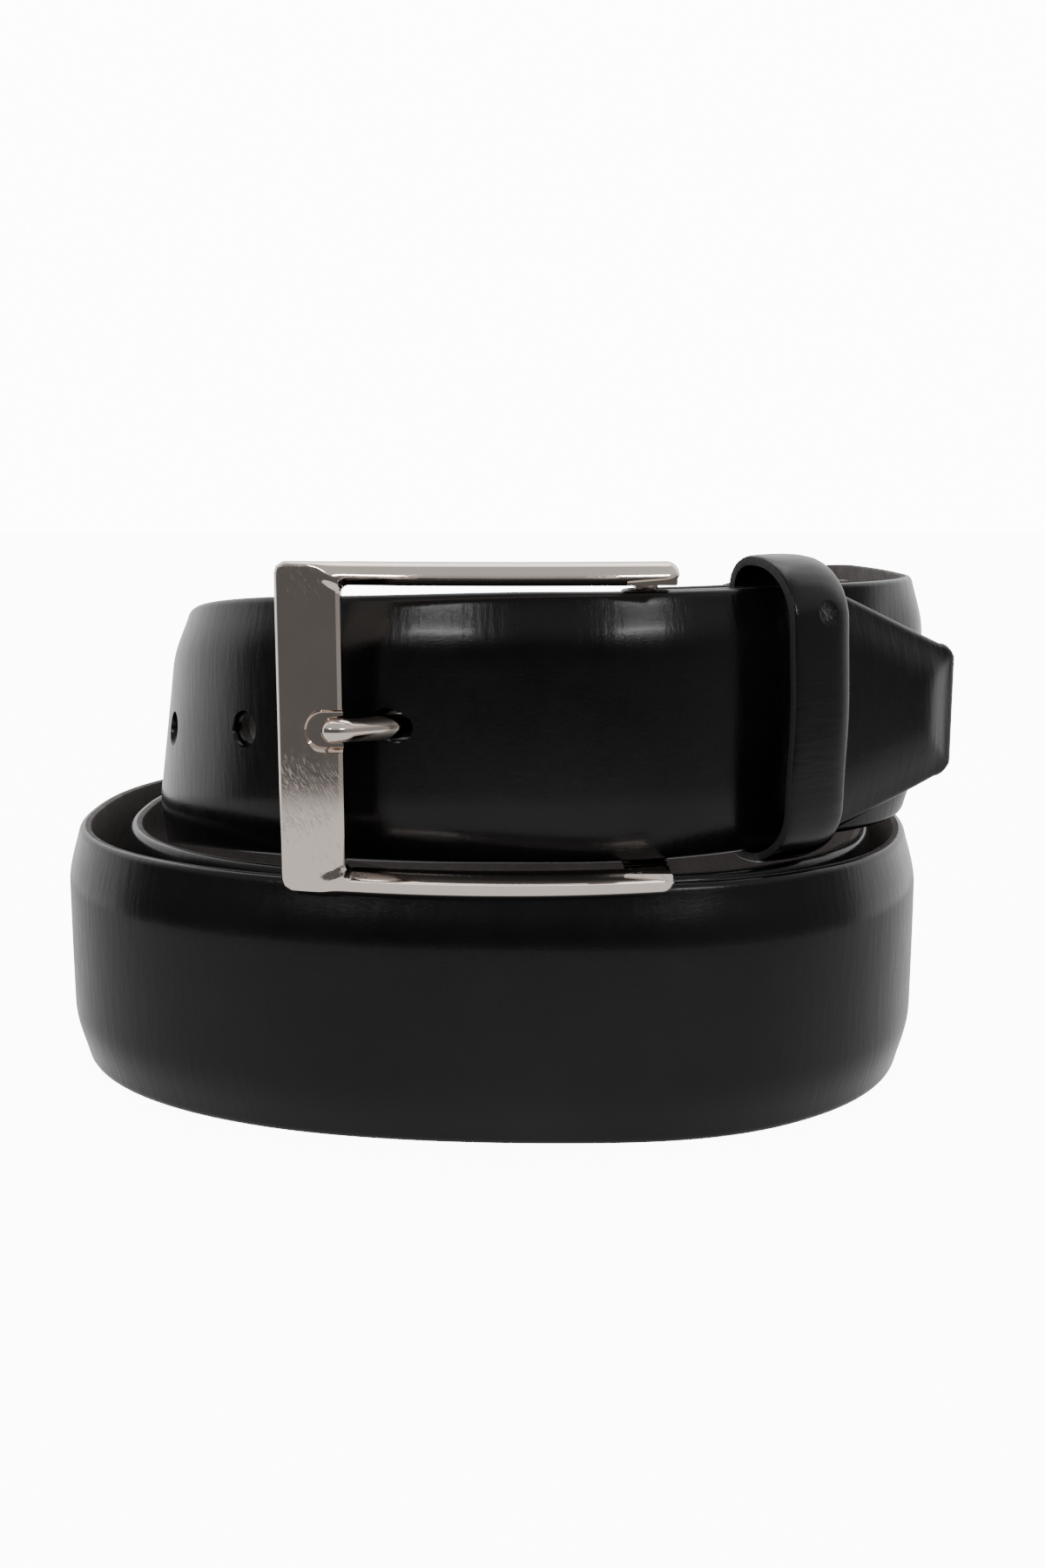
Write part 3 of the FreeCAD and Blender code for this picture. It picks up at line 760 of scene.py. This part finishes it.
KEEPER_DOME = 0.8
KEEPER_FRONT_R = 7.6          # of the loop's front corners, inside
KEEPER_BACK_R = 2.8
FRONT_PLAY = 0.05
EDGE_WAVE = 0.12              # the cut edges wander by this much
WAVE_UP, WAVE_OUT = 0.31, 0.7   # radians per millimetre of height and outwards
SEAM_HALF = 7                 # the loop's lapped end behind the strap, half its height
SEAM_FADE = 1.2               # it thins out over this height
SEAM_END = 0.2
SEAM_LEAST = 0.35             # share of its thickness left at its ends
SEAM_SINK = 0.9               # share of the loop's thickness where it starts
SEAM_NARROW = 0.985
KEEPER_UV_STEP = 0.01
SIDE_FACING = 0.9             # faces that point along the strap this much are the cut edges
DENT_AT = (9.7, -0.6, 69.0)   # pressed dimple: outwards, along the strap, height
DENT_R = 1.7
# Outer face across the loop, (share of the width, share of the thickness), worn rounder on the tip's side.
KEEPER_CROWN = [(-0.5, 0.45), (-0.475, 0.62), (-0.45, 0.74), (-0.40, 0.88), (-0.30, 1.05), (-0.20, 1.14),
                (-0.10, 1.185), (0.0, 1.20), (0.17, 1.19), (0.31, 1.16), (0.42, 1.11), (0.47, 1.04),
                (0.49, 0.97), (0.5, 0.88)]


def keeper_place():
    deg = 180 + BEND_DEG
    middle = bend_centre() + left_of(deg) * BEND_RADIUS - heading(deg) * KEEPER_S
    middle.z = 0
    return middle, heading(deg), left_of(deg)


def keeper_line():
    """Inner line of the loop in (outwards, height), following the strap's slopes at the front."""
    middle = (KEEPER_LOW + KEEPER_HIGH) / 2
    half = (KEEPER_HIGH - KEEPER_LOW) / 2
    front, back = KEEPER_FRONT + FRONT_PLAY, KEEPER_BACK
    r_front, r_back = KEEPER_FRONT_R, KEEPER_BACK_R
    shoulder_out = front - KEEPER_DOME * ((half - r_front) / half) ** 2
    made = []
    for h in steps(-(half - r_front), half - r_front, 24):
        made.append((front - KEEPER_DOME * (h / half) ** 2, h))
    made += rounded(shoulder_out - r_front, half - r_front, r_front, 0)
    made += [(x, half) for x in steps(shoulder_out - r_front, back + r_back, 6)[1:-1]]
    made += rounded(back + r_back, half - r_back, r_back, 90)
    made += [(back, h) for h in steps(half - r_back, r_back - half, 16)[1:-1]]
    made += rounded(back + r_back, r_back - half, r_back, 180)
    made += [(x, -half) for x in steps(back + r_back, shoulder_out - r_front, 6)[1:-1]]
    made += rounded(shoulder_out - r_front, r_front - half, r_front, 270)[:-1]
    return [(x, h + middle) for x, h in made]


def rounded(x, h, radius, first_deg):
    """Quarter of a circle about a point, from an angle."""
    return [(x + radius * math.cos(math.radians(a)), h + radius * math.sin(math.radians(a)))
            for a in steps(first_deg, first_deg + 90, 8)]


def make_keeper():
    middle, along, out = keeper_place()
    line = keeper_line()
    section = [(-0.5, 0.0)] + KEEPER_CROWN + [(0.5, 0.0), (0.0, 0.0)]
    points, uvs = [], []
    for i, (x, h) in enumerate(line):
        ahead = Vector(line[(i + 1) % len(line)]) - Vector(line[i - 1])
        normal = Vector((ahead.y, -ahead.x)).normalized()
        for across, lift in section:
            wave = EDGE_WAVE * math.sin(h * WAVE_UP + x * WAVE_OUT)
            p = Vector((x, h)) + normal * (lift * KEEPER_T)
            side = across * KEEPER_W + wave
            points.append(middle + along * side + out * p.x + Vector((0, 0, p.y)))
            uvs.append((i * KEEPER_UV_STEP, side * UV_UNIT))
    keeper = mesh_object("keeper", points, tube_faces(len(line), len(section), True), uvs)
    lap_points = []
    for h in steps(-SEAM_HALF, SEAM_HALF, 2 * SEAM_HALF):
        fade = smooth((SEAM_HALF + SEAM_END - abs(h)) / SEAM_FADE)
        for across, lift in section:
            depth = KEEPER_T * SEAM_SINK + lift * (SEAM_LEAST + (1 - SEAM_LEAST) * fade)
            p = middle + along * (across * KEEPER_W * SEAM_NARROW) + out * (KEEPER_BACK - depth)
            lap_points.append(p + Vector((0, 0, FRAME_Z + h)))
    lap = mesh_object("lap", lap_points, tube_faces(2 * SEAM_HALF + 1, len(section)))
    join(keeper, [lap])
    soften(keeper, 50)
    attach(keeper, "keeper")
    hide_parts("keeper_loop")
    dimple = middle + out * DENT_AT[0] + along * DENT_AT[1] + Vector((0, 0, DENT_AT[2]))
    keeper.data.materials.append(polished_leather("keeper_leather_look", dimple))
    keeper.data.materials.append(cut_edge())
    for face in keeper.data.polygons:
        if abs(face.normal.dot(along)) > SIDE_FACING:
            face.material_index = 1


# ---------------------------------------------------------------- materials

NICKEL_TINT = (0.76, 0.665, 0.60)
SCRATCH_DULLS = 0.16          # roughness that a scratch adds to the polished plate


class Look:
    """A material's node tree, with short calls to add and join nodes."""

    def __init__(self, name):
        self.material = bpy.data.materials.new(name)
        self.material.use_nodes = True
        self.tree = self.material.node_tree
        self.shader = next(n for n in self.tree.nodes if n.type == "BSDF_PRINCIPLED")
        self.place = self.add("ShaderNodeTexCoord").outputs["Object"]

    def add(self, kind, **values):
        node = self.tree.nodes.new(kind)
        for key, value in values.items():
            label = key.replace("_", " ").title()
            if label in node.inputs:
                node.inputs[label].default_value = value
            else:
                setattr(node, key, value)
        return node

    def join(self, source, target):
        self.tree.links.new(source, target)

    def noise(self, scale, detail=3.0, roughness=0.55, stretch=None, place=None):
        node = self.add("ShaderNodeTexNoise", scale=scale, detail=detail, roughness=roughness)
        where = place or self.place
        if stretch:
            mapping = self.add("ShaderNodeMapping")
            mapping.inputs["Scale"].default_value = stretch
            self.join(where, mapping.inputs["Vector"])
            where = mapping.outputs["Vector"]
        self.join(where, node.inputs["Vector"])
        return node.outputs["Fac"]

    def scratches(self, fineness, degrees):
        """Sparse straight hairlines at an angle in the plane of the buckle's face."""
        mapping = self.add("ShaderNodeMapping", vector_type="TEXTURE")
        mapping.inputs["Rotation"].default_value = (0, math.radians(degrees), 0)
        mapping.inputs["Scale"].default_value = (30, 1, 1)
        self.join(self.place, mapping.inputs["Vector"])
        lines = self.noise(fineness, 2, 0.5, place=mapping.outputs["Vector"])
        return self.remap(lines, 0.58, 0.66, 0, 1)

    def remap(self, value, low, high, to_low, to_high):
        node = self.add("ShaderNodeMapRange")
        for label, number in (("From Min", low), ("From Max", high), ("To Min", to_low), ("To Max", to_high)):
            node.inputs[label].default_value = number
        self.join(value, node.inputs["Value"])
        return node.outputs["Result"]

    def product(self, first, second):
        node = self.add("ShaderNodeMath", operation="MULTIPLY")
        self.join(first, node.inputs[0])
        self.join(second, node.inputs[1])
        return node.outputs[0]

    def mix_colour(self, factor, first, second):
        node = self.add("ShaderNodeMix", data_type="RGBA")
        node.inputs[6].default_value = (*first, 1)
        node.inputs[7].default_value = (*second, 1)
        self.join(factor, node.inputs[0])
        return node.outputs[2]

    def bump(self, heights):
        """Chain of bumps; each is (height, strength, distance in metres)."""
        normal = None
        for height, strength, distance in heights:
            node = self.add("ShaderNodeBump", strength=strength, distance=distance)
            self.join(height, node.inputs["Height"])
            if normal:
                self.join(normal, node.inputs["Normal"])
            normal = node.outputs["Normal"]
        self.join(normal, self.shader.inputs["Normal"])

    def set(self, **values):
        for key, value in values.items():
            self.shader.inputs[key.replace("_", " ").title().replace("Ior", "IOR")].default_value = value


def cells(look, scale):
    node = look.add("ShaderNodeTexVoronoi", scale=scale, feature="DISTANCE_TO_EDGE")
    look.join(look.place, node.inputs["Vector"])
    return node.outputs["Distance"]


def polished_leather(name, dimple=None):
    """Black box calf: glazed, with a fine pore grain, soft creases and, if asked, one pressed dimple."""
    look = Look(name)
    patches = look.noise(35, 4, 0.6)
    share = look.remap(patches, 0.35, 0.65, 0, 1)
    colour = look.mix_colour(share, (0.0025, 0.0024, 0.0030), (0.0060, 0.0056, 0.0066))
    look.join(colour, look.shader.inputs["Base Color"])
    gloss = look.noise(260, 5, 0.65)
    look.join(look.remap(gloss, 0.3, 0.7, 0.16, 0.25), look.shader.inputs["Roughness"])
    look.set(specular_ior_level=0.20, coat_weight=0.15, coat_roughness=0.13, coat_ior=1.45)
    strap = look.add("ShaderNodeUVMap", uv_map="strap").outputs["UV"]
    creases = look.noise(1.0, 3, 0.55, stretch=(95, 14, 1), place=strap)
    grain = look.remap(cells(look, 2400), 0.0, 0.12, 0, 1)
    heights = [(look.noise(40, 2, 0.5), 0.25, 0.0005), (creases, 0.16, 0.0003),
               (look.noise(1100, 4, 0.6), 0.06, 0.0002), (grain, 0.07, 0.00006)]
    if dimple:
        gap = look.add("ShaderNodeVectorMath", operation="DISTANCE")
        look.join(look.place, gap.inputs[0])
        gap.inputs[1].default_value = dimple * MM
        pressed = look.remap(gap.outputs["Value"], 0.3 * DENT_R * MM, DENT_R * MM, 0, 1)
        crumpled = look.product(look.remap(pressed, 0, 1, 1, 0), look.noise(900, 3, 0.6))
        heights += [(pressed, 0.8, 0.0008), (crumpled, 0.7, 0.0008)]
    look.bump(heights)
    return look.material


def cut_edge():
    """Raw cut edge of the keeper: dyed fibres, dull and uneven."""
    look = Look("cut_edge_look")
    fibres = look.noise(1400, 5, 0.7)
    colour = look.mix_colour(fibres, (0.002, 0.002, 0.002), (0.014, 0.013, 0.012))
    look.join(colour, look.shader.inputs["Base Color"])
    look.join(look.remap(fibres, 0.3, 0.7, 0.55, 0.8), look.shader.inputs["Roughness"])
    look.bump([(fibres, 0.5, 0.0002)])
    return look.material


def lining_leather():
    look = Look("lining_look")
    blotch = look.noise(60, 5, 0.6)
    colour = look.mix_colour(look.remap(blotch, 0.3, 0.7, 0, 1), (0.030, 0.024, 0.022), (0.056, 0.046, 0.042))
    look.join(colour, look.shader.inputs["Base Color"])
    grain = look.remap(cells(look, 1700), 0.0, 0.15, 0, 1)
    look.join(look.remap(look.noise(400, 4), 0.3, 0.7, 0.62, 0.8), look.shader.inputs["Roughness"])
    look.bump([(grain, 0.2, 0.0001), (look.noise(700, 5, 0.7), 0.15, 0.0002)])
    return look.material


def filler_board():
    look = Look("filler_look")
    fibres = look.noise(900, 6, 0.75, stretch=(1, 1, 3))
    colour = look.mix_colour(fibres, (0.012, 0.010, 0.009), (0.035, 0.030, 0.026))
    look.join(colour, look.shader.inputs["Base Color"])
    look.join(look.remap(fibres, 0.3, 0.7, 0.75, 0.95), look.shader.inputs["Roughness"])
    look.bump([(fibres, 0.6, 0.0003)])
    return look.material


def nickel(name):
    """Polished plate with worn patches of hairline scratches, faint clouding and slight waves."""
    look = Look(name)
    dull = tuple(c * 0.9 for c in NICKEL_TINT)
    cloud = look.noise(140, 5, 0.65)
    look.join(look.mix_colour(cloud, dull, NICKEL_TINT), look.shader.inputs["Base Color"])
    look.set(metallic=1.0)
    worn = look.remap(look.noise(90, 3, 0.6), 0.48, 0.62, 0, 1)
    hair = look.product(look.scratches(5200, 62), worn)
    cross = look.product(look.scratches(4200, 48), worn)
    plain = look.remap(cloud, 0.3, 0.7, 0.04, 0.10)
    marked = look.add("ShaderNodeMath", operation="MULTIPLY_ADD")
    look.join(hair, marked.inputs[0])
    marked.inputs[1].default_value = SCRATCH_DULLS
    look.join(plain, marked.inputs[2])
    look.join(marked.outputs[0], look.shader.inputs["Roughness"])
    look.bump([(hair, 0.05, 0.00003), (cross, 0.04, 0.00003), (look.noise(60, 2), 0.06, 0.0002)])
    return look.material


def steel_wire():
    look = Look("staple_look")
    drawn = look.noise(3000, 3, 0.6, stretch=(1, 1, 0.1))
    colour = look.mix_colour(drawn, (0.40, 0.39, 0.38), (0.62, 0.61, 0.60))
    look.join(colour, look.shader.inputs["Base Color"])
    look.set(metallic=1.0)
    look.join(look.remap(drawn, 0.3, 0.7, 0.25, 0.4), look.shader.inputs["Roughness"])
    look.bump([(drawn, 0.2, 0.0001)])
    return look.material


def paint_node(name, material):
    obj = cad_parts[name]
    for held in obj.material_slots:
        held.material = material
    if not obj.material_slots:
        obj.data.materials.append(material)


def dress_cad_nodes():
    metal = nickel("nickel_fittings_look")
    for name in ("heel_bar", "snap_posts", "snap_studs", "snap_sockets", "snap_caps"):
        paint_node(name, metal)
    paint_node("keeper_staples", steel_wire())
    paint_node("strap_filler", filler_board())


# ---------------------------------------------------------------- floor, light, camera

FLOOR_HALF = 3000.0
FLOOR_DROP = 0.05             # below the belt's foot
FLOOR_GLOW = 11.0
TABLE_GLOW = 0.92
ROOM_GLOW = 0.13
WALL_GLOW = 1.4
CEILING_GLOW = 0.5
SIDE_GLOW = 0.2           # the room is lighter on the right
BACKDROP_GLOW = 12.0
# Parts of the mirrored room: where each begins and is full, as a share of the view direction.
TABLE_SPAN = (-0.19, -0.18)   # upwards
CEILING_SPAN = (0.2, 0.5)     # upwards
WALL_SPAN = (-0.05, 0.32)     # backwards
SIDE_SPAN = (0.15, 0.9)       # to the right
LIGHTS_AIM = (0.0, 0.0, 0.035)
# Name, place, width and height in metres, and power in watts.
SOFT_BOXES = [("lamp_left", (-0.33, -0.55, 0.325), 0.20, 0.016, 0.55),
              ("lamp_right", (0.32, -0.57, 0.325), 0.20, 0.016, 0.55),
              ("top_box", (0.0, 0.15, 0.9), 0.9, 0.7, 3.0)]
CAMERA_AT = (4.3, -259.1, 84.9)
CAMERA_PITCH = 10.15
CAMERA_LENS = 38.1


def make_floor():
    size = FLOOR_HALF
    corners = [(-size, -size), (size, -size), (size, size), (-size, size)]
    points = [Vector((x, y, -FLOOR_DROP)) for x, y in corners]
    floor = mesh_object("floor", points, [(0, 1, 2, 3)])
    look = Look("floor_look")
    colour = look.mix_colour(look.noise(8, 2), (0.86, 0.86, 0.865), (0.88, 0.88, 0.885))
    look.join(colour, look.shader.inputs["Base Color"])
    look.set(roughness=0.65, emission_color=(1, 1, 1, 1), emission_strength=FLOOR_GLOW)
    floor.data.materials.append(look.material)
    floor.visible_glossy = False
    floor.visible_diffuse = False


def make_world():
    """White backdrop; the polished pieces mirror a dim room between a pale table and a ceiling."""
    world = bpy.data.worlds.new("studio")
    bpy.context.scene.world = world
    world.use_nodes = True
    tree = world.node_tree
    tree.nodes.clear()
    place = tree.nodes.new("ShaderNodeTexCoord")
    split = tree.nodes.new("ShaderNodeSeparateXYZ")
    tree.links.new(place.outputs["Generated"], split.inputs["Vector"])

    def ranged(source, low, high, to_low, to_high):
        node = tree.nodes.new("ShaderNodeMapRange")
        node.interpolation_type = "SMOOTHSTEP"
        for label, number in (("From Min", low), ("From Max", high), ("To Min", to_low), ("To Max", to_high)):
            node.inputs[label].default_value = number
        tree.links.new(source, node.inputs["Value"])
        return node.outputs["Result"]

    def calc(kind, first, second):
        node = tree.nodes.new("ShaderNodeMath")
        node.operation = kind
        tree.links.new(first, node.inputs[0])
        if isinstance(second, float):
            node.inputs[1].default_value = second
        else:
            tree.links.new(second, node.inputs[1])
        return node.outputs[0]

    right, back, up = (split.outputs[axis] for axis in "XYZ")
    wall = ranged(back, *WALL_SPAN, ROOM_GLOW, WALL_GLOW)
    side = ranged(right, *SIDE_SPAN, 0.0, SIDE_GLOW)
    above = ranged(up, *TABLE_SPAN, 0.0, 1.0)
    below = ranged(up, *TABLE_SPAN, TABLE_GLOW, 0.0)
    ceiling = ranged(up, *CEILING_SPAN, 0.0, CEILING_GLOW)
    room = calc("ADD", calc("ADD", calc("MULTIPLY", calc("ADD", wall, side), above), below), ceiling)
    path = tree.nodes.new("ShaderNodeLightPath")
    seen = calc("MULTIPLY", path.outputs["Is Camera Ray"], BACKDROP_GLOW)
    strength = calc("ADD", room, seen)
    background = tree.nodes.new("ShaderNodeBackground")
    background.inputs["Color"].default_value = (1.0, 1.0, 1.0, 1)
    tree.links.new(strength, background.inputs["Strength"])
    out = tree.nodes.new("ShaderNodeOutputWorld")
    tree.links.new(background.outputs["Background"], out.inputs["Surface"])


def soft_box(name, place, width, height, power):
    data = bpy.data.lights.new(name, "AREA")
    data.shape = "RECTANGLE"
    data.size, data.size_y = width, height
    data.energy = power
    obj = bpy.data.objects.new(name, data)
    bpy.context.scene.collection.objects.link(obj)
    obj.location = place
    obj.rotation_euler = (Vector(LIGHTS_AIM) - Vector(place)).to_track_quat("-Z", "Y").to_euler()


def make_lights():
    for name, place, width, height, power in SOFT_BOXES:
        soft_box(name, place, width, height, power)


def make_camera():
    data = bpy.data.cameras.new("camera")
    data.lens = CAMERA_LENS
    data.sensor_width = 36.0
    data.clip_start, data.clip_end = 0.01, 20.0
    obj = bpy.data.objects.new("camera", data)
    bpy.context.scene.collection.objects.link(obj)
    obj.location = Vector(CAMERA_AT) * MM
    obj.rotation_euler = (math.radians(90 - CAMERA_PITCH), 0, 0)
    bpy.context.scene.camera = obj


make_strap()
make_buckle()
make_prong()
make_keeper()
dress_cad_nodes()
make_floor()
make_world()
make_lights()
make_camera()
